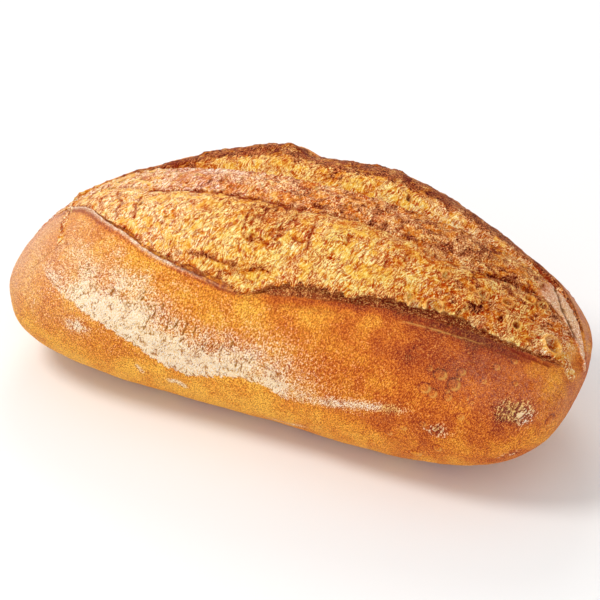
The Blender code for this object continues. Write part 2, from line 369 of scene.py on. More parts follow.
def left_to_right(s, pair):
    """One value at the left end and another at the right, blended near the middle."""
    share = 1 / (1 + np.exp(-s / END_BLEND))
    return pair[0] * (1 - share) + pair[1] * share


def taper(s, bluntness):
    """The share of the full size at s: 1 in the middle, 0 at both ends."""
    power = left_to_right(s, bluntness)
    return np.clip(1 - np.abs(s) ** power, 0, 1) ** (1 / power)


def score_lines(s):
    """Where the lip, both edges of the strip and the rim lie across the loaf."""
    lip = along(s, LIP)
    near = np.maximum(along(s, STRIP_NEAR), lip + LINE_GAP)
    far = np.maximum(along(s, STRIP_FAR), near + LINE_GAP)
    rim = np.maximum(along(s, RIM), far + LINE_GAP / 2)
    return lip, near, far, rim


def section_angle(across):
    """The angle in the section, 0 at the far waist and pi at the near one."""
    return np.arccos(np.sign(across) * np.abs(across) ** (TOP_SECTION / 2))


def body(s, angle):
    """Points of the body without relief, and what places the relief on it."""
    waist = along(s, WAIST_HEIGHT)
    near_reach = WIDTH / 2 * taper(s, NEAR_BLUNTNESS)
    far_reach = WIDTH / 2 * taper(s, FAR_BLUNTNESS)
    half_width = (near_reach + far_reach) / 2
    middle = AXIS_BOW * s * s + (far_reach - near_reach) / 2 + MIDDLE_SHIFT
    full_top = HEIGHT * (1 + TOP_TILT * s + TOP_BOW * s * s)
    over = (full_top - waist) * taper(s, TOP_BLUNTNESS)
    under = (waist + BASE_CUT) * taper(s, BASE_BLUNTNESS)

    upper = np.sin(angle) >= 0
    power = np.where(upper, TOP_SECTION, BASE_SECTION)
    reach = np.where(upper, over, under)
    side = np.sign(np.cos(angle)) * np.abs(np.cos(angle)) ** (2 / power)
    rise = np.abs(np.sin(angle)) ** (2 / power)
    y = side * half_width + middle
    z = np.maximum(waist + np.where(upper, rise, -rise) * reach, 0)
    points = np.stack([s * LENGTH / 2 + 0 * angle, y, z], axis=-1)

    # The section's outward direction carries the relief
    tiny = 1e-6
    out_y = np.sign(side) * np.abs(side) ** (power - 1) / np.maximum(half_width, tiny)
    out_z = np.where(upper, 1, -1) * rise ** (power - 1) / np.maximum(reach, tiny)
    size = np.hypot(out_y, out_z) + tiny
    outward = np.stack([0 * y, out_y / size, out_z / size], axis=-1)
    across = np.where(upper, side, np.sign(side))
    return points, outward, across, half_width


def even_rows(s):
    """Angles of the rows on every ring, evenly spaced between the lines, and arcs along them."""
    lip, near, far, rim = (section_angle(line) for line in score_lines(s))
    counts = [count for _, count in ROWS]
    knot_rows = np.cumsum([0] + counts)
    flat = 0 * s
    knots = np.stack([flat, rim, far, near, lip, flat + pi, flat + pi + SIDE_TURN,
                      flat + 2 * pi - SIDE_TURN, flat + 2 * pi], axis=1)
    fine = np.linspace(0, 2 * pi, FINE_TURN + 1)
    points = body(s[:, None], fine[None, :])[0]
    steps = np.linalg.norm(np.diff(points, axis=1), axis=2)
    arcs = np.concatenate([np.zeros((len(s), 1)), np.cumsum(steps, axis=1)], axis=1)
    rows = np.arange(knot_rows[-1])
    angle = np.empty((len(s), len(rows)))
    arc = np.empty_like(angle)
    for i in range(len(s)):
        knot_arcs = np.interp(knots[i], fine, arcs[i])
        arc[i] = np.interp(rows, knot_rows, knot_arcs)
        angle[i] = np.interp(arc[i], arcs[i], fine)
    return angle, arc, dict(zip(("rim", "far", "near", "lip", "waist"), knot_rows[1:]))


def large_relief(loaf):
    """Height of the lip, the scores, the strip and the rim over the body."""
    s, across = loaf.s, loaf.across
    lip, near, far, rim = score_lines(s)
    inside = between(s, *SCORES_START, *SCORES_END)
    lip_rise = along(s, LIP_RISE)
    rim_rise = along(s, RIM_RISE)

    near_wall = lip_rise * np.exp(np.minimum(across - lip, 0) / SHARE_LIP_FALL * 4)
    q = np.clip((across - lip) / (near - lip), 0, 1)
    swell = BLOOM_RISE * np.sin(pi * np.clip((q - 0.04) / 0.96, 0, 1)) ** 0.8
    first_score = lip_rise * np.exp(-((q / 0.05) ** 2)) + inside * swell

    q = np.clip((across - near) / (far - near), 0, 1)
    strip = inside * STRIP_RISE * np.sin(pi * q) ** 0.5

    q = np.clip((across - far) / (rim - far), 0, 1)
    width = (rim - far) * loaf.half_width
    valley = VALLEY_DEPTH * step(width, 0.0015, 0.012) * step(q, 0, 0.12)
    valley = inside * valley * np.exp(-(((q - 0.22) / 0.2) ** 2))
    second_score = rim_rise * step(q, 0.15, 0.92) - valley

    far_wall = rim_rise * np.exp(-(((across - rim) / 0.28) ** 2))
    zones = [across < lip, across < near, across < far, across < rim]
    relief = np.select(zones, [near_wall, first_score, strip, second_score], far_wall)
    return np.where(np.sin(loaf.angle) >= 0, relief, 0)


def grid_normals(points):
    """Outward directions of a grid whose rows wrap round."""
    down = np.roll(points, -1, axis=1) - np.roll(points, 1, axis=1)
    right = np.gradient(points, axis=0)
    normals = np.cross(down, right)
    return normals / (np.linalg.norm(normals, axis=-1, keepdims=True) + 1e-12)


def camera_axes():
    """The photo camera's right, up and back directions, and its place."""
    turn, lift = radians(AZIMUTH), radians(ELEVATION)
    back = np.array([np.sin(turn) * np.cos(lift), -np.cos(turn) * np.cos(lift), np.sin(lift)])
    right = np.array([np.cos(turn), np.sin(turn), 0])
    up = np.cross(back, right)
    look_at = np.array(TARGET) + LOOK_AT[0] * right + LOOK_AT[1] * up
    return right, up, back, look_at + CAMERA_DISTANCE * back


def in_photo(points):
    """Each point's pixel in the photo, and its depth from the camera."""
    right, up, back, place = camera_axes()
    offset = points - place
    depth = -(offset @ back)
    focal = FOCAL_LENGTH / SENSOR * PHOTO_PIXELS
    pixel_x = PHOTO_PIXELS / 2 + focal * (offset @ right) / depth
    pixel_y = PHOTO_PIXELS / 2 - focal * (offset @ up) / depth
    return pixel_x, pixel_y, depth


def make_form():
    """The grid of the loaf's surface with its large relief, and distances along it."""
    t = np.linspace(-1, 1, RINGS + 2)[1:-1]
    s = t + (np.sin(pi * t / 2) - t) * step(np.abs(t), 0.4, 1)
    loaf = SimpleNamespace()
    loaf.angle, arc, rows = even_rows(s)
    loaf.s = np.broadcast_to(s[:, None], loaf.angle.shape)
    points, outward, loaf.across, loaf.half_width = body(loaf.s, loaf.angle)
    loaf.points = points + large_relief(loaf)[..., None] * outward
    loaf.points[..., 2] = np.maximum(loaf.points[..., 2], 0)
    loaf.normals = grid_normals(loaf.points)
    loaf.x = loaf.points[..., 0]
    # from_lip and the others are distances round the section, above 0 towards the far side
    for name, row in rows.items():
        setattr(loaf, "from_" + name, arc[:, row:row + 1] - arc)
    loaf.relief = np.zeros_like(loaf.x)
    loaf.lean = np.zeros_like(loaf.x)
    loaf.seen = np.flatnonzero(loaf.normals @ camera_axes()[2] > 0.02)
    seen_points = loaf.points.reshape(-1, 3)[loaf.seen]
    loaf.seen_x, loaf.seen_y, loaf.seen_depth = in_photo(seen_points)
    return loaf


# Places and lines read from the photo

def find_pixel(loaf, x, y):
    """The grid point of the loaf that the photo shows at a pixel."""
    gap = (loaf.seen_x - x) ** 2 + (loaf.seen_y - y) ** 2
    close = np.flatnonzero(gap < 1.5)
    best = close[loaf.seen_depth[close].argmin()] if len(close) else gap.argmin()
    return np.unravel_index(loaf.seen[best], loaf.x.shape)


def block_round(loaf, i, j, reach):
    """Grid points around one of them, out to this reach in metres."""
    cells_out = int(reach / CELL) + 1
    rings = np.arange(max(i - cells_out, 0), min(i + cells_out + 1, loaf.x.shape[0]))
    rows = np.arange(j - cells_out, j + cells_out + 1) % loaf.x.shape[1]
    return np.ix_(rings, rows)


def line_on_loaf(loaf, pixels):
    """Grid points under a line drawn over the photo, one for each pixel, and their smoothed places."""
    corners = np.array(pixels, dtype=float)
    lengths = np.concatenate([[0], np.cumsum(np.linalg.norm(np.diff(corners, axis=0), axis=1))])
    stops = np.linspace(0, lengths[-1], int(lengths[-1]) + 2)
    across = np.interp(stops, lengths, corners[:, 0])
    down = np.interp(stops, lengths, corners[:, 1])
    line = [find_pixel(loaf, x, y) for x, y in zip(across, down)]
    places = np.array([loaf.points[place] for place in line])
    smooth = (places + np.roll(places, 1, axis=0) + np.roll(places, -1, axis=0)) / 3
    smooth[[0, -1]] = places[[0, -1]]
    return line, smooth


def follow(loaf, pixels, reach):
    """Distance of each point from a line drawn over the photo, its side and the share along it."""
    line, places = line_on_loaf(loaf, pixels)
    travel = np.gradient(places, axis=0)
    distance = np.full(loaf.x.shape, FAR_AWAY)
    side = np.zeros(loaf.x.shape)
    share = np.zeros(loaf.x.shape)
    for number, (i, j) in enumerate(line):
        block = block_round(loaf, i, j, reach)
        offset = loaf.points[block] - places[number]
        gap = np.linalg.norm(offset, axis=-1)
        closer = gap < distance[block]
        left = np.cross(loaf.normals[i, j], travel[number])
        distance[block] = np.where(closer, gap, distance[block])
        side[block] = np.where(closer, np.sign(offset @ left), side[block])
        share[block] = np.where(closer, number / (len(line) - 1), share[block])
    return SimpleNamespace(distance=distance, side=side, share=share)


def thinning(share, ends=0.15):
    """1 along a line, falling to nothing at both of its ends."""
    return between(share, 0, ends, 1 - ends, 1)


def keep_most(loaf, mask, values, where=...):
    """Lay values over a mask, where they are more."""
    loaf.masks[mask][where] = np.maximum(loaf.masks[mask][where], values)


def toast_most(loaf, values):
    """Brown the crumb as far as these values, where they are more. Painted shade at the foot of torn edges
    is laid in this way too.
    """
    loaf.toasting = np.maximum(loaf.toasting, values)


def cut(loaf, pixels, width, depth, dark=1.0, mask="line"):
    """A groove along a line, or a raised line if depth is below 0, with browned crumb beside it."""
    line = follow(loaf, pixels, 4 * width + 1 * MM)
    uneven = 0.8 + 0.5 * loaf.jitter
    strength = bump(line.distance, 0, width * uneven) * thinning(line.share)
    loaf.relief -= depth * strength
    keep_most(loaf, mask, dark * strength * np.clip(0.85 + loaf.jitter, 0, 1))
    browned = 0.55 * dark * bump(line.distance, 0, 2.6 * width) * thinning(line.share)
    toast_most(loaf, browned * (1 + 0.6 * loaf.jitter))


def ridge(loaf, pixels, height, width):
    """A ragged raised edge of crumb with light crests and a dark foot."""
    line = follow(loaf, pixels, 4 * width)
    uneven = 1 + 0.9 * loaf.jitter + 0.5 * loaf.flecks
    shown = thinning(line.share) * (line.distance < FAR_AWAY)
    flap = shown * bump(line.distance, 0, width)
    loaf.relief += height * uneven * flap
    loaf.torn = np.maximum(loaf.torn, step(flap * uneven, 0.2, 0.5))
    loaf.band *= 1 - step(flap * uneven, 0.2, 0.5)
    loaf.masks["crest_and_highlight"] += 0.25 * flap
    toast_most(loaf, 0.9 * shown * bump(line.distance, 1.7 * width, 0.8 * width))


def ledge(loaf, pixels, height, width, dark=0.8):
    """A torn edge: raised on the line's left, where it browns, with painted shade at its foot on its right,
    laid into the browning.
    """
    line = follow(loaf, pixels, 3 * width)
    near = np.exp(-line.distance / width) * (line.distance < FAR_AWAY)
    ends = thinning(line.share, 0.2)
    uneven = np.clip(0.9 + 0.6 * loaf.jitter, 0, 2)
    inner = step(line.side * line.distance, -0.5 * MM, 0.4 * MM)
    loaf.relief += height * near * ends * uneven * (inner - 0.35)
    browned = bump(line.side * line.distance, 0.7 * MM, (1.6 + 1.2 * loaf.jitter) * MM)
    # Painted shade at the foot of the torn edge
    painted_foot_shade = bump(line.side * line.distance, -0.5 * MM, 0.7 * MM)
    shown = ends * (line.distance < FAR_AWAY)
    toast_most(loaf, shown * dark * np.maximum(browned, 1.2 * painted_foot_shade) * uneven)


def round_patch(loaf, x, y, wide, tall):
    """Points round a pixel, their distance (1 at the edge of a wide by tall oval) and offset."""
    return patch_at(loaf, find_pixel(loaf, x, y), wide, tall)


def patch_at(loaf, place, wide, tall):
    """What round_patch gives, round a grid point."""
    i, j = place
    block = block_round(loaf, i, j, 3 * max(wide, tall) * PIXEL)
    offset = loaf.points[block] - loaf.points[i, j]
    over = offset[..., 0] / (wide * PIXEL)
    up = np.linalg.norm(offset[..., 1:], axis=-1) / (tall * PIXEL)
    return block, np.hypot(over, up), offset


def blister(loaf, place, wide, tall, rise=0.3):
    """A thin-skinned bubble in the crust, with a painted highlight low on its right and a painted darker
    ring of shade on its upper left.
    """
    block, distance, offset = patch_at(loaf, place, wide, tall)
    dome = np.sqrt(np.clip(1 - distance**2, 0, 1))
    outline = bump(distance, 1.15, 0.16)
    loaf.relief[block] += rise * min(wide, tall) * PIXEL * (dome - 0.3 * outline)
    toward_lit_side = np.clip((offset[..., 0] - offset[..., 2]) / (wide * PIXEL), -1, 1)
    # Painted highlight on the lit side, and painted shade round the other side
    keep_most(loaf, "pale", step(toward_lit_side, -0.1, 0.7) * bump(distance, 0.85, 0.2) + 0.12 * dome, block)
    keep_most(loaf, "ring", outline * step(toward_lit_side, 0.9, -0.6), block)


def pocket(loaf, x, y, wide, tall, depth=0.45, dark=0.4):
    """An opened bubble in the crumb: a hollow with painted shade inside, and a raised thin pale wall round
    it, partly painted highlight.
    """
    block, distance, _ = round_patch(loaf, x, y, wide, tall)
    hollow = np.clip(1 - distance**4, 0, 1)
    wall = bump(distance, 1.1, 0.16)
    inside = loaf.torn[block]
    loaf.relief[block] += inside * min(wide, tall) * PIXEL * (0.3 * wall - depth * hollow)
    # Painted shade inside the hollow, and a pale wall that is partly painted highlight
    keep_most(loaf, "hollow", inside * dark * hollow, block)
    keep_most(loaf, "pale", inside * wall, block)


# Fine relief and masks

def zones(loaf):
    """Where the two opened scores, the strip and the band lie, and what makes their edges uneven."""
    s = loaf.s
    ends = between(s, -0.97, -0.88, 0.93, 0.985)
    loaf.upper = (np.sin(loaf.angle) > 0) * 1.0
    loaf.height = loaf.points[..., 2] + 5 * MM * noise_over(loaf, 14, 120)
    loaf.far_side = step(loaf.points[..., 1], 15 * MM, 40 * MM)
    rough = 0.8 * MM * noise_over(loaf, 3, 40, 2)
    loaf.jitter = noise_over(loaf, 2.2, 44, 2)
    loaf.foot = along(s, FOOT) * MM + rough + 0.9 * MM * noise_over(loaf, 7, 42)
    past_foot = step(loaf.from_lip, loaf.foot - 0.4 * MM, loaf.foot + 0.6 * MM)
    on_strip = step(loaf.from_near + 1.5 * rough, -0.6 * MM, 0.6 * MM)
    past_strip = step(loaf.from_far + rough, -0.4 * MM, 0.6 * MM)
    past_rim = step(loaf.from_rim + rough, 0.5 * MM, 2.5 * MM)
    loaf.first = loaf.upper * ends * past_foot * (1 - on_strip)
    loaf.second = loaf.upper * ends * past_strip * (1 - past_rim)
    loaf.strip = loaf.upper * on_strip * (1 - past_strip)
    loaf.band = loaf.upper * ends * step(loaf.from_lip + 1.3 * rough, -0.4 * MM, 1.6 * MM) * (1 - past_foot)
    loaf.torn = np.clip(loaf.first + loaf.second, 0, 1)
    loaf.smooth_strip = loaf.strip * step(s + 0.03 * loaf.jitter, 0.77, 0.83)
    loaf.rough_strip = loaf.strip - loaf.smooth_strip


def place_on_chart(loaf, wave_size, wave_reach, seed):
    """Flat places on the crumb, along and across, moved about so that lines come out wavy."""
    place = np.stack([loaf.x, loaf.from_lip], axis=-1)
    waves = [gradient_noise(place / wave_size, seed + i) for i in range(2)]
    return place + wave_reach * np.stack(waves, axis=-1)


def across_loaf(place, width, length, lean=STRAND_LEAN):
    """Places scaled for shapes that run across the loaf, lean to the right and are this large."""
    leaning = place[..., 0] - lean * place[..., 1]
    return np.stack([leaning / width, place[..., 1] / length], axis=-1)


def crumb_texture(loaf):
    """The crumb's folds and waves, its flecks and hairs, and the thin creases between them."""
    place = place_on_chart(loaf, 9 * MM, 2.2 * MM, 50)
    small_waves = [gradient_noise(place / (3.2 * MM), 200 + i) for i in range(2)]
    close_place = place + 0.5 * MM * np.stack(small_waves, axis=-1)
    loaf.folds = gradient_noise(across_loaf(place, 11 * MM, 20 * MM), 52)
    loaf.waves = gradient_noise(across_loaf(place, 4 * MM, 9 * MM), 53)
    loaf.flecks = gradient_noise(across_loaf(close_place, 1.05 * MM, 4.6 * MM), 54)
    loaf.hairs = gradient_noise(across_loaf(close_place, 0.75 * MM, 3 * MM), 55)
    lines = np.abs(gradient_noise(across_loaf(close_place, 2.6 * MM, 7 * MM), 56))
    loaf.creases = np.clip(1 - lines / 0.16, 0, 1) * step(loaf.jitter + loaf.waves, -0.2, 0.3)
    nearest, following, chance = cells(across_loaf(close_place, 3 * MM, 4.8 * MM), 58)
    loaf.walls = np.exp(-(following - nearest) / 0.09)
    loaf.hollows = (chance < 0.5) * np.clip(1 - 1.2 * nearest, 0, 1)
    loaf.openness = step(loaf.s, 0.25, 0.6) * loaf.first


def torn_crumb(loaf):
    """Relief of the crumb, and how light its crests are: partly the crumb's own tone, partly painted
    highlight on raised parts and painted shade in open hollows.
    """
    crumb_texture(loaf)
    fine = (0.03 * loaf.flecks + 0.02 * loaf.hairs - 0.1 * loaf.creases) * (1 - 0.35 * loaf.openness)
    coarse = 0.8 * loaf.folds + 0.32 * loaf.waves
    open_cells = loaf.openness * (0.3 * loaf.walls - 0.4 * loaf.hollows)
    loaf.relief += MM * loaf.first * (coarse + fine + open_cells)
    loaf.relief += MM * loaf.second * (0.6 * coarse + 0.5 * fine)
    # Lighter on the relief's rises and darker in open hollows: partly the crumb's tone, partly painted
    # highlight and painted shade
    crest_and_highlight = 0.5 + 0.1 * loaf.flecks + 0.12 * loaf.hairs + 0.15 * loaf.waves + 0.08 * loaf.folds
    crest_and_highlight += loaf.openness * (0.45 * loaf.walls - 0.3 * loaf.hollows - 0.1)
    covered = np.clip(loaf.torn + loaf.rough_strip, 0, 1)
    loaf.masks["crest_and_highlight"] = crest_and_highlight * covered + (0.5 + 0.6 * loaf.plates) * (1 - covered)
    keep_most(loaf, "line", 0.55 * loaf.torn * loaf.creases)


def lip_ridge(loaf):
    """The ridge on the lip, with dark specks behind it at the left."""
    s, v = loaf.s, loaf.from_lip
    wander = noise_over(loaf, *LIP_WANDER)
    grit = noise_over(loaf, 0.8, 62)
    ridge_share = bump(v + 0.6 * MM * wander + 0.3 * MM * grit, -0.2 * MM, 0.8 * MM)
    ridge_share *= 0.8 + 0.5 * wander + 0.5 * loaf.jitter + 0.8 * grit
    loaf.relief += loaf.upper * along(s, LIP_RIDGE) * MM * ridge_share
    loaf.lip_left = loaf.upper * between(s, -0.88, -0.82, -0.35, -0.05)
    specks = bump(v, 1.3 * MM, 0.8 * MM) * step(grit + loaf.jitter, -0.4, 0.2)
    keep_most(loaf, "line", loaf.lip_left * specks)


def sunk_band(loaf):
    """The sunk band beyond the lip, and the crumb's overhanging foot."""
    s, v = loaf.s, loaf.from_lip
    depth = along(s, BAND_DEPTH) * MM
    foot_rise = along(s, FOOT_RISE) * MM
    layers = gradient_noise(np.stack([loaf.x / (16 * MM), v / (1.1 * MM)], axis=-1), 60)
    behind = np.exp(-np.clip(v - loaf.foot, 0, None) / (8 * MM))
    loaf.relief += loaf.band * (-depth + 0.35 * MM * layers + 0.25 * MM * loaf.jitter)
    loaf.relief += loaf.first * foot_rise * behind
    edge = bump(v, loaf.foot + 0.6 * MM, 1.3 * MM)
    loaf.lean += loaf.first * edge * foot_rise * (0.6 + 0.8 * loaf.jitter)
    loaf.foot_edge = edge * loaf.upper
    loaf.bright_edge = loaf.foot_edge * between(s, 0.4, 0.5, 0.86, 0.92)
    loaf.masks["crest_and_highlight"] += 0.4 * loaf.bright_edge * (0.6 + loaf.jitter)
    loaf.band *= 1 - (1 - step(s, -0.03, 0.02)) * (1 - step(layers + loaf.jitter, -0.3, 0.3))


def shade_under_lip(loaf):
    """Painted shade: darker crust below the lip and the band, and a painted shaded fold under the lip's
    left end.
    """
    s, v = loaf.s, loaf.from_lip
    wander = noise_over(loaf, *LIP_WANDER)
    at_left = bump(v, -2.2 * MM, 1.1 * MM) * between(s, -1, -0.9, -0.75, -0.3)
    thin = 0.6 * bump(v, -1.9 * MM, 0.7 * MM) * between(s, -0.85, -0.8, -0.2, 0)
    reach = (2.4 + 1.2 * wander + 2.4 * step(s, 0.3, 0.6)) * MM
    below_band = 0.9 * bump(v + 0.6 * MM * wander, -0.6 * MM, reach) * between(s, -0.05, 0.12, 0.8, 0.92)
    loaf.lip_shade = loaf.upper * np.maximum(np.maximum(at_left, thin), below_band)
    # Painted shade in the fold under the lip's left end, laid into the hollows' darkening
    shaded_fold = bump(v, -1.9 * MM, 1.2 * MM) * between(s, -0.9, -0.84, -0.8, -0.6)
    keep_most(loaf, "hollow", 0.55 * loaf.upper * shaded_fold)


def strip_and_rim(loaf):
    """The strip's rough crust, the ragged rim, and painted shadow under the strip's near edge."""
    pits = np.clip(-loaf.jitter - 0.25, 0, 1)
    rough = 0.3 * loaf.waves + 0.14 * loaf.flecks + 0.12 * loaf.hairs + 0.15 * loaf.jitter - 0.4 * pits
    loaf.relief += MM * loaf.rough_strip * rough
    loaf.relief += MM * loaf.smooth_strip * 0.15 * loaf.jitter
    near_edge = bump(loaf.from_near, 0.7 * MM, 1.3 * MM)
    far_edge = bump(loaf.from_far, -0.7 * MM, 1.3 * MM)
    loaf.relief += loaf.strip * MM * (0.7 * near_edge + 0.7 * far_edge) * (1 + 0.6 * loaf.jitter)
    keep_most(loaf, "pit", loaf.rough_strip * 2.2 * pits)
    ragged = noise_over(loaf, 8, 76, 4, 0.6)
    loaf.at_rim = np.exp(-np.abs(loaf.from_rim) / (3.5 * MM)) * loaf.upper * (1 - step(loaf.s, 0.6, 0.8))
    loaf.relief += 1.1 * MM * loaf.at_rim * ragged
    # Painted shadow under the strip's near edge, laid in as a dark line and as browning
    under_edge = bump(loaf.from_near + 1.5 * MM * loaf.jitter, -0.6 * MM, 0.9 * MM)
    under_edge *= 0.7 + 1.2 * loaf.waves
    loaf.strip_shade = under_edge * loaf.upper * between(loaf.s, -0.62, -0.54, 0, 0.3)
    keep_most(loaf, "line", loaf.strip_shade * (0.6 + 0.7 * loaf.jitter))


def wall_texture(loaf):
    """Small plates that the crust is crazed into, which lean up to the right."""
    place = place_on_chart(loaf, 6 * MM, 1.2 * MM, 110)
    plates = gradient_noise(across_loaf(place, 0.95 * MM, 2.2 * MM, WALL_LEAN), 112)
    small = gradient_noise(across_loaf(place, 0.7 * MM, 1.2 * MM, WALL_LEAN), 113)
    left = 1 - 0.6 * step(loaf.s, -0.1, 0.4)
    loaf.plates = (0.45 * plates + 0.45 * small) * left


def crust(loaf):
    """Soft lumps over the whole crust and fine grain on the smooth part of it."""
    smooth = 1 - np.clip(loaf.torn + loaf.band + loaf.strip, 0, 1)
    off_floor = step(loaf.points[..., 2], 0, 12 * MM)
    lumps = 0.5 * noise_over(loaf, 30, 80) + 0.3 * noise_over(loaf, 11, 81)
    grain = 0.12 * loaf.plates + 0.10 * noise_over(loaf, 2.8, 83)
    loaf.relief += off_floor * MM * (lumps + smooth * grain)


def far_blisters(loaf):
    """Blisters strewn over the far side, which the photo doesn't show."""
    draw = np.random.default_rng(FAR_BLISTER_DRAW)
    for _ in range(FAR_BLISTERS):
        ring = int(draw.uniform(*FAR_BLISTER_RINGS) * RINGS)
        row = int(draw.triangular(*FAR_BLISTER_ROWS)) % loaf.x.shape[1]
        size = draw.uniform(*FAR_BLISTER_SIZES)
        blister(loaf, (ring, row), size, size * draw.uniform(0.7, 1))


def photo_features(loaf):
    """What stands out one by one in the photo."""
    for line in TEARS:
        ledge(loaf, line, 1.3 * MM, 2.8 * MM)
    for line in STROKES:
        cut(loaf, line, 0.75 * MM, 0.5 * MM, 1.0)
    for line in CREASES:
        cut(loaf, line, 0.8 * MM, 0.7 * MM, 1.0)
    for line in SOFT_CREASES:
        cut(loaf, line, 1.0 * MM, 0.5 * MM, 0.35)
    ridge(loaf, TAB_EDGE, 0.8 * MM, 0.9 * MM)
    cut(loaf, LIP_LINE, 0.4 * MM, -0.3 * MM, 0.75, "pale")
    cut(loaf, END_CRACK, 1.2 * MM, 1.4 * MM, 1.3)
    for x, y, wide, tall in BLISTERS:
        blister(loaf, find_pixel(loaf, x, y), wide, tall)
    far_blisters(loaf)
    for x, y, wide, tall, rise in BUMPS:
        block, distance, _ = round_patch(loaf, x, y, wide, tall)
        loaf.relief[block] += rise * MM * bump(distance, 0, 0.8)
    for x, y, wide, tall in POCKETS:
        pocket(loaf, x, y, wide, tall)
    for x, y, wide, tall in CAVITIES:
        pocket(loaf, x, y, wide, tall, 1.0, 1.0)


def end_crumb(loaf):
    """Crumb that shows where the scores run out at both ends."""
    for line, width in ((TAB, 2.6 * MM), (END_PATCH, 4.2 * MM)):
        reach = follow(loaf, line, 3 * width)
        share = step(reach.distance + 0.5 * MM * loaf.jitter, width, 0.6 * width)
        loaf.relief += share * MM * (0.4 * loaf.waves + 0.5 * loaf.flecks)
        loaf.torn = np.maximum(loaf.torn, share)
        toast_most(loaf, share * (0.4 + 0.4 * loaf.waves))


def second_toast(loaf):
    """How far the second score's crumb has browned: it is burnt where it climbs to the rim."""
    s = loaf.s
    climb = loaf.from_far / np.maximum(loaf.from_far - loaf.from_rim, MM)
    climb = climb + 0.09 * loaf.waves + 0.05 * loaf.jitter
    burnt = 1.4 * step(climb, 0.47, 0.64) * (0.3 + 0.7 * step(s, *RIM_BROWNS))
    at_left = 0.6 * between(s, *RIM_BROWNS, -0.6, -0.3)
    return burnt + at_left + 0.25 + 0.22 * step(s, 0.3, 0.55)


def toasting(loaf):
    """How far the crumb and the edges have browned, with painted shade under the crumb's overhanging foot,
    under the strip's edge and at the feet of torn edges.
    """
    s = loaf.s
    under_strip = np.exp(np.minimum(loaf.from_near, 0) / (10 * MM)) * step(s, -0.55, -0.2)
    toast = loaf.first * (0.12 + 0.42 * step(s, 0.2, 0.8) + 0.42 * under_strip)
    toast += loaf.second * second_toast(loaf) + 0.4 * loaf.at_rim * step(s, *RIM_BROWNS)
    toast += loaf.strip * (0.18 + 0.45 * step(s, -0.62, -0.4) + 0.15 * step(s, -0.1, 0.3))
    toast += 0.3 * loaf.torn * loaf.creases + 0.28 * noise_over(loaf, 9, 90, 3)
    # The crumb's lowest edge at the overhanging foot: partly toasted, partly painted shade under the
    # overhang
    foot = 0.6 * loaf.first * bump(loaf.from_lip, loaf.foot - 0.3 * MM, 1.0 * MM)
    toast += (0.45 * loaf.foot_edge + foot) * (1 - 0.9 * loaf.bright_edge)
    for x, y, wide, tall, strength in TOASTED_SPOTS:
        block, distance, _ = round_patch(loaf, x, y, wide, tall)
        toast[block] += strength * loaf.torn[block] * step(distance + 0.4 * loaf.waves[block], 1.3, 0.5)
    # Painted shadow under the strip's near edge
    toast += 0.9 * loaf.strip_shade
    return np.maximum(toast, loaf.toasting)


def flour_patch(loaf):
    """The floured patch on the near wall: full at its lower edge and fading above it."""
    edge = follow(loaf, FLOUR_EDGE, 30 * MM)
    above = edge.side * edge.distance + 1.5 * MM * loaf.jitter
    inside = np.maximum(above, 0)
    fade = 0.7 * bump(inside, 0, 17 * MM) + 0.3 * bump(inside, 0, 32 * MM)
    patch = step(above, -0.8 * MM, 1.2 * MM) * fade
    return patch * np.interp(edge.share, *np.transpose(FLOUR_ALONG_EDGE)) * (edge.distance < FAR_AWAY)


def flour_dust(loaf, spots):
    """Thin flour: a veil over the near wall, patches on the far one and a floury base."""
    veil = step(loaf.height, 22 * MM, 52 * MM) * (0.19 - 0.15 * step(loaf.s, -0.5, 0.0))
    veil *= (1 - loaf.torn) * step(loaf.from_lip, 1 * MM, -8 * MM)
    drift = noise_over(loaf, 24, 130, 3)
    far = loaf.far_side * (1 - loaf.torn) * step(drift, 0.05, 0.9) * bump(loaf.height, 50 * MM, 26 * MM)
    base = step(loaf.points[..., 2], 6 * MM, 0) * step(drift, -0.1, 0.6)
    return veil * (1 + 0.6 * spots) + 0.05 + 0.8 * far + 0.5 * base


def flour_marks(loaf, total, spots):
    """Add the streaks and the ovals of flour that the photo shows. At the right it lies in grains."""
    for line, width, strength in FLOUR_STREAKS:
        streak = follow(loaf, line, 3 * width * MM)
        total += strength * bump(streak.distance, 0, width * MM) * thinning(streak.share, 0.3)
    for x, y, wide, tall, strength in FLOUR_SPOTS:
        block, distance, _ = round_patch(loaf, x, y, wide, tall)
        near = strength * bump(distance + 0.4 * loaf.jitter[block] + 0.4 * spots[block], 0, 0.8)
        on_right = step(loaf.x[block], 0, 40 * MM)
        grain = loaf.plates[block] + 0.5 * loaf.hairs[block]
        total[block] += near * (1 - on_right * step(grain, 0.08, -0.12))
        keep_most(loaf, "ring", 1.6 * near * on_right * step(grain, 0.05, -0.15), block)


def flour(loaf):
    """Flour left on every side, on both parts of the strip and on the lip."""
    spots = noise_over(loaf, 10, 95, 3)
    total = 1.3 * flour_patch(loaf) * (0.9 + 0.4 * spots) + flour_dust(loaf, spots)
    total += 0.38 * loaf.smooth_strip
    flour_marks(loaf, total, spots)
    total = total + 0.35 * loaf.plates * step(total, 0.1, 0.5)
    total *= 1 - loaf.upper * bump(loaf.from_lip, 0, 1.2 * MM)
    total += 0.5 * loaf.lip_left * bump(loaf.from_lip, 0, 1.0 * MM) * (1 + loaf.jitter)
    strip = 0.9 * loaf.strip * bump(loaf.s, -0.38, 0.22) * bump(loaf.from_far, -1.0 * MM, 3 * MM)
    return total + strip * step(loaf.flecks + loaf.jitter, 0.1, 0.4)


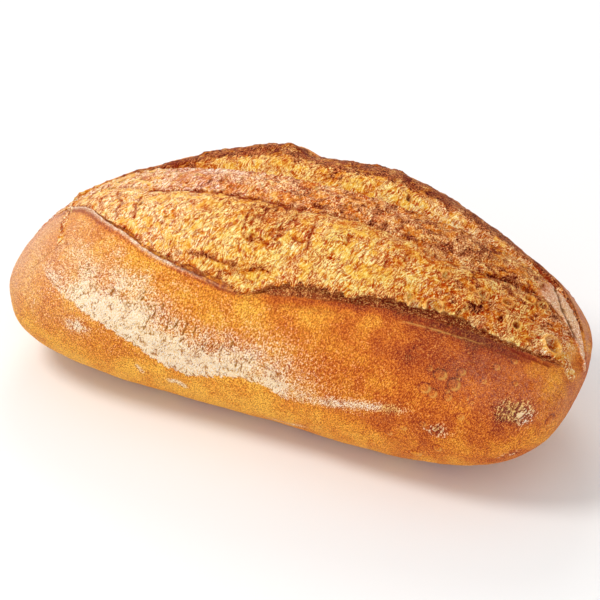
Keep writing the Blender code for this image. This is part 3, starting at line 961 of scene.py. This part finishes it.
def flour_cracks(loaf, flour_share):
    """Short cracks where the floured crust has stretched."""
    place = place_on_chart(loaf, 4 * MM, 0.8 * MM, 100)
    lines = gradient_noise(across_loaf(place, 2.0 * MM, 5.5 * MM, WALL_LEAN), 102)
    shown = step(gradient_noise(place / (4 * MM), 103), 0.0, 0.3) * step(flour_share, 0.4, 0.8)
    crack = np.clip(1 - np.abs(lines) / 0.2, 0, 1) * shown
    crack *= 1 - loaf.upper * step(loaf.from_lip, -6 * MM, 0)
    loaf.relief -= 0.35 * MM * crack
    keep_most(loaf, "line", 0.7 * crack)
    for line in FLOUR_CRACKS:
        cut(loaf, line, 0.42 * MM, 0.6 * MM)


def blush(loaf):
    """The dull pinkish lilac of crust that was covered or baked less, and a painted pinkish sheen on the
    near wall's right part.
    """
    s = loaf.s
    nose = 0.42 * (1 - step(s, -0.93, -0.75)) + 0.22 * (1 - step(s, -0.8, -0.45))
    nose *= step(loaf.height, 30 * MM, 62 * MM)
    below_lip = bump(loaf.from_lip, -0.2 * MM, 1.0 * MM) * between(s, -0.88, -0.83, -0.35, 0.05)
    below_lip *= loaf.upper * (1 + 0.8 * loaf.jitter)
    # Painted pinkish sheen on the right of the near wall
    sheen = step(s, 0.55, 0.78) * bump(loaf.from_lip, -17 * MM, 14 * MM) * (0.09 + 0.12 * loaf.jitter)
    strip = loaf.rough_strip * bump(s, -0.4, 0.2)
    strip *= 0.3 + 0.5 * bump(loaf.from_far, 0, 4 * MM) + loaf.jitter
    down_wall = loaf.from_rim / np.maximum(loaf.from_rim[:, :1], MM)
    far = step(loaf.from_rim, 1 * MM, 4 * MM) * (1 - step(down_wall + 0.1 * loaf.jitter, 0.1, 0.75))
    far *= 0.45 * loaf.upper * step(s + 0.05 * loaf.jitter, 0.5, 0.85)
    return (nose + below_lip + sheen) * (1 - loaf.torn) + strip + far + 0.7 * loaf.smooth_strip


def browning(loaf):
    """How much darker and redder the crust has baked, with painted shade under the lip and a wall lighter
    low down, partly painted bounce light, and how golden the crumb is.
    """
    s = loaf.s
    spots = noise_over(loaf, 16, 98, 3)
    right = step(loaf.x, 0, 95 * MM) - 0.25 * step(s, 0.82, 0.98)
    left = step(loaf.x, 60 * MM, -20 * MM)
    low = step(loaf.height, 46 * MM, 20 * MM)
    base = step(loaf.points[..., 2], 7 * MM, 1 * MM)
    # low makes the lower wall lighter and less brown: partly painted bounce light from the floor
    baked = 0.23 + (0.33 - 0.1 * low) * right - 0.16 * low + (0.06 + 0.15 * spots) * loaf.far_side
    baked += (0.25 - 0.18 * left) * spots + (0.2 + 0.2 * spots) * base
    # lip_shade adds painted shade under the lip and the band
    baked += 0.45 * loaf.lip_shade - 0.3 * loaf.smooth_strip
    in_second = loaf.second * (0.7 - 0.4 * step(s, 0.25, 0.45))
    in_first = 0.2 + 0.5 * step(s, -0.55, -0.1) - 0.5 * step(s, 0.8, 0.9) + 0.25 * loaf.folds
    golden = in_second + (loaf.torn - loaf.second) * in_first
    return baked * (1 - loaf.torn) + golden * loaf.torn


def add_fine_relief(loaf):
    """Every layer of relief and every mask, in order."""
    loaf.masks = {name: np.zeros_like(loaf.x) for _, names in MASK_SETS for name in names}
    loaf.toasting = np.zeros_like(loaf.x)
    zones(loaf)
    wall_texture(loaf)
    torn_crumb(loaf)
    lip_ridge(loaf)
    sunk_band(loaf)
    shade_under_lip(loaf)
    strip_and_rim(loaf)
    crust(loaf)
    photo_features(loaf)
    end_crumb(loaf)
    flour_share = flour(loaf)
    flour_cracks(loaf, flour_share)
    loaf.masks.update(
        crumb=loaf.torn + loaf.rough_strip, toast=toasting(loaf), flour=flour_share, band=loaf.band,
        blush=blush(loaf), brown=browning(loaf))


# The mesh

def corner_grid(values, wrap_value=None):
    """Values of a grid's points at each quad's four corners, in the faces' order."""
    nxt = np.roll(values, -1, axis=1)
    if wrap_value is not None:
        nxt[:, -1] = wrap_value
    return np.stack([values[:-1], nxt[:-1], nxt[1:], values[1:]], axis=-1)


def relieved_points(loaf):
    """The grid's points with all of their relief, and none below the floor."""
    points = loaf.points + loaf.relief[..., None] * loaf.normals
    toward_near = np.roll(loaf.points, -1, axis=1) - loaf.points
    toward_near /= np.linalg.norm(toward_near, axis=-1, keepdims=True) + 1e-12
    points += loaf.lean[..., None] * toward_near
    points[..., 2] = np.maximum(points[..., 2], 0)
    return points


def make_mesh(loaf):
    """One closed mesh: quads over the grid, and a fan of triangles round a pole at each end."""
    points = relieved_points(loaf)
    rings, rows = points.shape[:2]
    poles = np.array([points[0].mean(axis=0), points[-1].mean(axis=0)])
    poles[:, 0] = (-LENGTH / 2, LENGTH / 2)
    numbers = np.arange(rings * rows).reshape(rings, rows)
    quads = corner_grid(numbers).reshape(-1, 4)
    left_pole, right_pole = rings * rows, rings * rows + 1
    after = np.roll(numbers, -1, axis=1)
    left = np.stack([numbers[0] * 0 + left_pole, after[0], numbers[0]], axis=-1)
    right = np.stack([numbers[-1] * 0 + right_pole, numbers[-1], after[-1]], axis=-1)

    mesh = bpy.data.meshes.new("loaf_crust")
    vertices = np.concatenate([points.reshape(-1, 3), poles])
    corners = np.concatenate([quads.ravel(), left.ravel(), right.ravel()])
    starts = np.concatenate([np.arange(len(quads)) * 4, len(quads) * 4 + np.arange(2 * rows) * 3])
    mesh.vertices.add(len(vertices))
    mesh.vertices.foreach_set("co", vertices.astype(np.float32).ravel())
    mesh.loops.add(len(corners))
    mesh.loops.foreach_set("vertex_index", corners.astype(np.int32))
    mesh.polygons.add(len(starts))
    mesh.polygons.foreach_set("loop_start", starts.astype(np.int32))
    mesh.update(calc_edges=True)
    mesh.shade_smooth()
    add_masks(mesh, loaf)
    add_bake_map(mesh, rings, rows)
    return mesh


def add_masks(mesh, loaf):
    """Colour attributes hold the masks, four in each."""
    for name, parts in MASK_SETS:
        values = np.stack([np.clip(loaf.masks[part], 0, 1) for part in parts], axis=-1).reshape(-1, 4)
        values = np.concatenate([values, values[:1], values[-1:]])
        attribute = mesh.attributes.new(name, "FLOAT_COLOR", "POINT")
        attribute.data.foreach_set("color", values.astype(np.float32).ravel())


def add_bake_map(mesh, rings, rows):
    """One flat map of the whole surface, which gives most room to the sides that show."""
    along_map = np.linspace(0.002, 0.998, rings)
    across_map = np.arange(rows + 1) / rows * 0.998 + 0.001
    u = np.broadcast_to(along_map[:, None], (rings, rows))
    v = np.broadcast_to(across_map[None, :-1], (rings, rows))
    u_corners = corner_grid(u).reshape(-1)
    v_corners = corner_grid(v, across_map[-1]).reshape(-1)
    middles = (across_map[:-1] + across_map[1:]) / 2
    zero = 0 * middles
    left_u = np.stack([zero, zero + along_map[0], zero + along_map[0]], axis=-1).ravel()
    left_v = np.stack([middles, across_map[1:], across_map[:-1]], axis=-1).ravel()
    right_u = np.stack([zero + 1, zero + along_map[-1], zero + along_map[-1]], axis=-1).ravel()
    right_v = np.stack([middles, across_map[:-1], across_map[1:]], axis=-1).ravel()
    all_u = np.concatenate([u_corners, left_u, right_u])
    all_v = np.concatenate([v_corners, left_v, right_v])
    flat = np.stack([all_u, all_v], axis=-1)
    layer = mesh.uv_layers.new(name="OFBake")
    layer.data.foreach_set("uv", flat.astype(np.float32).ravel())


# The material

def linear(code):
    """A colour written as a hex code, in the linear values that shaders use."""
    parts = [int(code[i:i + 2], 16) / 255 for i in (0, 2, 4)]
    return (*(part / 12.92 if part <= 0.04045 else ((part + 0.055) / 1.055) ** 2.4 for part in parts), 1)


class Wiring:
    """Short ways to add nodes to one material."""

    def __init__(self, material):
        self.nodes = material.node_tree.nodes
        self.links = material.node_tree.links
        self.places = self.nodes.new("ShaderNodeTexCoord").outputs["Object"]

    def put(self, socket, value):
        """Link a socket to another one, or set its own value."""
        if isinstance(value, bpy.types.NodeSocket):
            self.links.new(value, socket)
        else:
            socket.default_value = value

    def math(self, operation, a, b=0.0):
        node = self.nodes.new("ShaderNodeMath")
        node.operation = operation
        self.put(node.inputs[0], a)
        self.put(node.inputs[1], b)
        return node.outputs[0]

    def plus(self, a, b):
        return self.math("ADD", a, b)

    def minus(self, a, b):
        return self.math("SUBTRACT", a, b)

    def times(self, a, b):
        return self.math("MULTIPLY", a, b)

    def mix(self, share, a, b, kind="MIX"):
        """Colour a, with this share of colour b laid over it."""
        node = self.nodes.new("ShaderNodeMix")
        node.data_type = "RGBA"
        node.blend_type = kind
        node.clamp_factor = True
        self.put(node.inputs["Factor"], share)
        self.put(node.inputs[6], a)
        self.put(node.inputs[7], b)
        return node.outputs[2]

    def span(self, value, low, high, to_low=0.0, to_high=1.0):
        """A value spread smoothly from one range, low to high, over another."""
        node = self.nodes.new("ShaderNodeMapRange")
        node.interpolation_type = "SMOOTHSTEP"
        self.put(node.inputs["Value"], value)
        ranges = {"From Min": low, "From Max": high, "To Min": to_low, "To Max": to_high}
        for name, number in ranges.items():
            node.inputs[name].default_value = number
        return node.outputs["Result"]

    def line_at(self, value, level, width):
        """1 where a value passes a level, falling to 0 at this distance from it."""
        gap = self.math("ABSOLUTE", self.minus(value, level))
        return self.span(gap, 0.2 * width, width, 1, 0)

    def wavy_places(self, size, reach):
        """Places moved about by slow noise, so that grain changes its direction."""
        slow = self.nodes.new("ShaderNodeTexNoise")
        slow.inputs["Scale"].default_value = 1 / size
        slow.inputs["Detail"].default_value = 1
        self.put(slow.inputs["Vector"], self.places)
        moved = self.nodes.new("ShaderNodeVectorMath")
        moved.operation = "MULTIPLY_ADD"
        self.put(moved.inputs[0], slow.outputs["Color"])
        moved.inputs[1].default_value = (reach, reach, reach)
        self.put(moved.inputs[2], self.places)
        return moved.outputs["Vector"]

    def noise(self, size, detail=2.0, rough=0.5, turn=(0, 0, 0), places=None):
        """Noise between 0 and 1 with features of this width, length and depth, turned this way."""
        mapping = self.nodes.new("ShaderNodeMapping")
        mapping.vector_type = "TEXTURE"
        mapping.inputs["Scale"].default_value = size
        mapping.inputs["Rotation"].default_value = [radians(angle) for angle in turn]
        self.put(mapping.inputs["Vector"], places or self.places)
        node = self.nodes.new("ShaderNodeTexNoise")
        node.inputs["Scale"].default_value = 1
        node.inputs["Detail"].default_value = detail
        node.inputs["Roughness"].default_value = rough
        self.put(node.inputs["Vector"], mapping.outputs["Vector"])
        return node.outputs["Fac"]

    def even_noise(self, size, detail=2.0, rough=0.5):
        """Noise whose features are as long as they are wide."""
        return self.noise((size, size, size), detail, rough)

    def ramp(self, value, *stops):
        """A colour read at a value, between stops that each hold a position and a hex code."""
        node = self.nodes.new("ShaderNodeValToRGB")
        elements = node.color_ramp.elements
        for _ in stops[2:]:
            elements.new(0.5)
        for element, (position, code) in zip(elements, stops):
            element.position = position
            element.color = linear(code)
        self.put(node.inputs["Fac"], value)
        return node.outputs["Color"]

    def even_ramp(self, value, *codes):
        """A ramp with its colours spaced evenly from 0 to 1."""
        return self.ramp(value, *zip(np.linspace(0, 1, len(codes)), codes))

    def all_masks(self):
        """Every mask of the mesh by its name, from its colour attributes."""
        found = {}
        for name, parts in MASK_SETS:
            node = self.nodes.new("ShaderNodeAttribute")
            node.attribute_name = name
            split = self.nodes.new("ShaderNodeSeparateColor")
            self.put(split.inputs["Color"], node.outputs["Color"])
            found.update(zip(parts, (*split.outputs[:3], node.outputs["Alpha"])))
        return found


def grained(wires, color, grain, dark_share, light_share):
    """A colour with darker and creamier grain in it."""
    darker = wires.mix(1.0, color, linear("BF8758"), "MULTIPLY")
    color = wires.mix(wires.span(grain, 0.52, 0.4, 0, dark_share), color, darker)
    lighter = wires.mix(1.0, color, linear("85602A"), "ADD")
    return wires.mix(wires.span(grain, 0.5, 0.62, 0, light_share), color, lighter)


def crust_color(wires, masks, grains):
    """Baked crust: gold to brown, pinkish where flour or steam kept it pale and under the painted sheen."""
    browner = wires.plus(masks["brown"], wires.span(grains["broad"], 0.3, 0.7, -0.12, 0.12))
    browner = wires.plus(browner, wires.span(masks["crest_and_highlight"], 0, 1, 0.2, -0.2))
    browner = wires.plus(browner, wires.span(grains["fine"], 0.3, 0.7, 0.08, -0.08))
    # ring darkens the painted shaded side of each blister, and the dark grain between grains of flour
    browner = wires.plus(browner, wires.times(masks["ring"], 0.45))
    gold = wires.even_ramp(browner, "F6BC46", "E69428", "CA6412", "A63E0C", "721C04")
    gold = grained(wires, gold, grains["plates"], 0.9, 0.9)
    pink = wires.ramp(grains["tiny"], (0.36, "8C3C20"), (0.5, "DE9E7C"), (0.62, "FFEEDC"))
    return wires.mix(wires.times(masks["blush"], 0.85), gold, pink)


def crumb_grain(wires, grains):
    """How much lighter or darker than its surroundings each strand and grain of crumb is, with a painted
    highlight along each fibre and painted shade just beside it.
    """
    grain = wires.plus(wires.span(grains["strands"], 0.35, 0.65, -0.42, 0.42),
                       wires.span(grains["tiny"], 0.35, 0.65, -0.32, 0.32))
    # Painted highlight along one side of each fibre, and painted shade just beside it
    grain = wires.plus(grain, wires.times(wires.line_at(grains["lit_and_shaded_fibres"], 0.5, 0.08), 0.3))
    grain = wires.minus(grain, wires.times(wires.line_at(grains["lit_and_shaded_fibres"], 0.37, 0.08), 0.25))
    return wires.times(grain, wires.span(grains["patches"], 0.38, 0.6, 0.6, 1.35))


def crumb_color(wires, masks, grains):
    """Torn crumb: cream crests and red-brown hollows, partly painted highlight and painted shade, browner
    the more it was toasted.
    """
    light = wires.plus(masks["crest_and_highlight"], crumb_grain(wires, grains))
    plain = wires.even_ramp(light, "D05800", "E89E22", "EFBC56", "F6D68C", "FFFCE8")
    toasted = wires.even_ramp(light, "981400", "C24804", "D6781A", "E8A448", "FFECC4")
    burnt = wires.even_ramp(light, "180000", "440200", "640A00", "8E2A04", "E08C50")
    lilac = wires.even_ramp(light, "7C1C04", "B65A2C", "CC865E", "E2AE92", "FFF8FA")
    toast = wires.plus(masks["toast"], wires.span(grains["middle"], 0.3, 0.7, -0.22, 0.22))
    shown = wires.span(grains["middle"], 0.4, 0.52)
    threads = wires.times(wires.line_at(grains["threads"], 0.5, 0.05), shown)
    color = wires.mix(wires.span(toast, 0.1, 0.6), plain, toasted)
    color = wires.mix(masks["brown"], color, wires.mix(1.0, color, linear("EEEAA2"), "MULTIPLY"))
    color = wires.mix(wires.times(threads, 0.9), color, linear("AE3000"))
    color = wires.mix(wires.span(toast, 0.65, 1.05), color, burnt)
    color = wires.mix(wires.times(masks["blush"], 0.8), color, lilac)
    return wires.mix(wires.times(masks["pit"], 0.7), color, linear("6A1C08"))


def marked(wires, color, masks, grains):
    """A colour with the band, the pale lines and painted highlights, the dark lines and the painted shade
    of hollows laid over it.
    """
    flakes = wires.plus(grains["tiny"], wires.span(grains["fine"], 0.35, 0.65, -0.06, 0.06))
    band_color = wires.ramp(flakes, (0.38, "4A0600"), (0.5, "8A1E04"), (0.57, "C45C18"), (0.64, "FFD080"))
    color = wires.mix(wires.times(masks["band"], 0.9), color, band_color)
    # Pale lines, and painted highlights on blisters and crumb walls
    color = wires.mix(wires.times(masks["pale"], 0.7), color, linear("F2B45A"))
    line_color = wires.mix(masks["crumb"], linear("821C02"), linear("8A1E00"))
    line_color = wires.mix(wires.span(masks["flour"], 0.2, 0.5), line_color, linear("6A3E14"))
    color = wires.mix(wires.times(masks["line"], 0.9), color, line_color)
    # Painted shade in hollows, holes and the fold under the lip
    return wires.mix(wires.times(masks["hollow"], 0.75), color, linear("6E2206"))


def floured(wires, color, masks, grains):
    """A colour with flour and its slits laid over it, and how much of the flour shows."""
    shown = wires.times(wires.span(grains["middle"], 0.46, 0.56), wires.span(masks["flour"], 0.35, 0.7))
    slits = wires.times(wires.line_at(grains["slits"], 0.5, 0.04), shown)
    color = wires.mix(wires.times(slits, 0.8), color, linear("8A561E"))
    stipple = wires.plus(grains["plates"], wires.times(masks["flour"], 0.5))
    stipple = wires.minus(stipple, wires.times(slits, 0.4))
    floury = wires.times(wires.span(stipple, 0.68, 0.86), wires.span(masks["flour"], 0, 0.15))
    flour_color = wires.ramp(grains["tiny"], (0.36, "E8BC78"), (0.5, "FFEBC2"), (0.6, "FFFFF8"))
    flour_color = wires.mix(wires.span(masks["brown"], 0.4, 0.6), flour_color, linear("F4CA7C"))
    covered = wires.times(floury, wires.span(masks["line"], 0, 0.7, 0.85, 0.0))
    return wires.mix(covered, color, flour_color), floury


def all_grains(wires):
    """Every noise that the material's colours and bumps share."""
    wavy = wires.wavy_places(8 * MM, 4 * MM)
    return {
        "broad": wires.even_noise(16 * MM, 3),
        "middle": wires.even_noise(3.5 * MM, 3),
        "fine": wires.even_noise(1.3 * MM, 2, 0.6),
        "tiny": wires.even_noise(0.42 * MM, 2, 0.65),
        "patches": wires.even_noise(7 * MM, 2),
        "strands": wires.noise((0.42 * MM, 3.0 * MM, 0.42 * MM), 2, 0.6, CRUMB_TURN, wavy),
        "lit_and_shaded_fibres": wires.noise((0.6 * MM, 4.5 * MM, 0.6 * MM), 1, 0.5, CRUMB_TURN, wavy),
        "threads": wires.noise((1.2 * MM, 9 * MM, 1.2 * MM), 1, 0.5, CRUMB_TURN, wavy),
        "plates": wires.noise((0.42 * MM, 1.0 * MM, 0.42 * MM), 2, 0.6, WALL_TURN),
        "slits": wires.noise((1.3 * MM, 4.2 * MM, 1.3 * MM), 1, 0.5, WALL_TURN),
    }


def crust_material():
    """The loaf's one material: crust, crumb and flour, each where its mask says."""
    material = bpy.data.materials.new("baked_crust")
    material.use_nodes = True
    wires = Wiring(material)
    masks = wires.all_masks()
    grains = all_grains(wires)
    crumb = masks["crumb"]
    color = wires.mix(crumb, crust_color(wires, masks, grains), crumb_color(wires, masks, grains))
    color, floury = floured(wires, marked(wires, color, masks, grains), masks, grains)

    shader = material.node_tree.nodes["Principled BSDF"]
    wires.put(shader.inputs["Base Color"], color)
    roughness = wires.plus(wires.span(crumb, 0, 1, 0.55, 0.62), wires.times(floury, 0.3))
    wires.put(shader.inputs["Roughness"], roughness)
    wires.put(shader.inputs["Specular IOR Level"], wires.span(crumb, 0, 1, 0.16, 0.04))

    depth = wires.mix(crumb, grains["plates"], wires.times(grains["strands"], 0.1))
    bumps = material.node_tree.nodes.new("ShaderNodeBump")
    bumps.inputs["Strength"].default_value = 0.8
    bumps.inputs["Distance"].default_value = BUMP_DEPTH
    wires.put(bumps.inputs["Height"], depth)
    wires.put(shader.inputs["Normal"], bumps.outputs["Normal"])
    return material


# The stage

def add_camera():
    """A camera at the photo's angle, which shows the loaf where the photo does."""
    right, up, back, place = camera_axes()
    camera = bpy.data.cameras.new("camera")
    camera.sensor_width = SENSOR
    camera.lens = FOCAL_LENGTH
    placed = bpy.data.objects.new("camera", camera)
    turn = Matrix((right, up, back)).transposed().to_4x4()
    placed.matrix_world = Matrix.Translation(place) @ turn
    bpy.context.scene.collection.objects.link(placed)
    bpy.context.scene.camera = placed


def add_area_light(name, place, size, power, color):
    """A round soft light that faces the loaf."""
    light = bpy.data.lights.new(name, "AREA")
    light.shape = "DISK"
    light.size = size
    light.energy = power
    light.color = color
    placed = bpy.data.objects.new(name, light)
    placed.location = place
    from_aim = Vector(place) - Vector(LIGHTS_AIM)
    placed.rotation_euler = from_aim.to_track_quat("Z", "Y").to_euler()
    bpy.context.scene.collection.objects.link(placed)


def add_stage():
    """The pale floor, the even light of the room and the soft lights."""
    bpy.ops.mesh.primitive_plane_add(size=FLOOR_SIZE)
    floor = bpy.context.active_object
    floor.name = "floor"
    paper = bpy.data.materials.new("pale_floor")
    paper.use_nodes = True
    shader = paper.node_tree.nodes["Principled BSDF"]
    shader.inputs["Base Color"].default_value = FLOOR_COLOR
    shader.inputs["Roughness"].default_value = 0.9
    floor.data.materials.append(paper)
    world = bpy.data.worlds.new("soft_room")
    world.use_nodes = True
    background = world.node_tree.nodes["Background"]
    background.inputs["Color"].default_value = (1, 1, 1, 1)
    background.inputs["Strength"].default_value = ROOM_LIGHT
    bpy.context.scene.world = world
    for light in LIGHTS:
        add_area_light(*light)


def main():
    """Build the loaf's mesh in place of its solid, and the stage round it."""
    loaf = make_form()
    add_fine_relief(loaf)
    piece = bpy.data.objects.new("loaf_crust", make_mesh(loaf))
    piece.data.materials.append(crust_material())
    bpy.context.scene.collection.objects.link(piece)
    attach(piece, "root")
    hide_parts("loaf")
    add_camera()
    add_stage()
    bpy.context.scene.view_settings.view_transform = "Standard"


main()
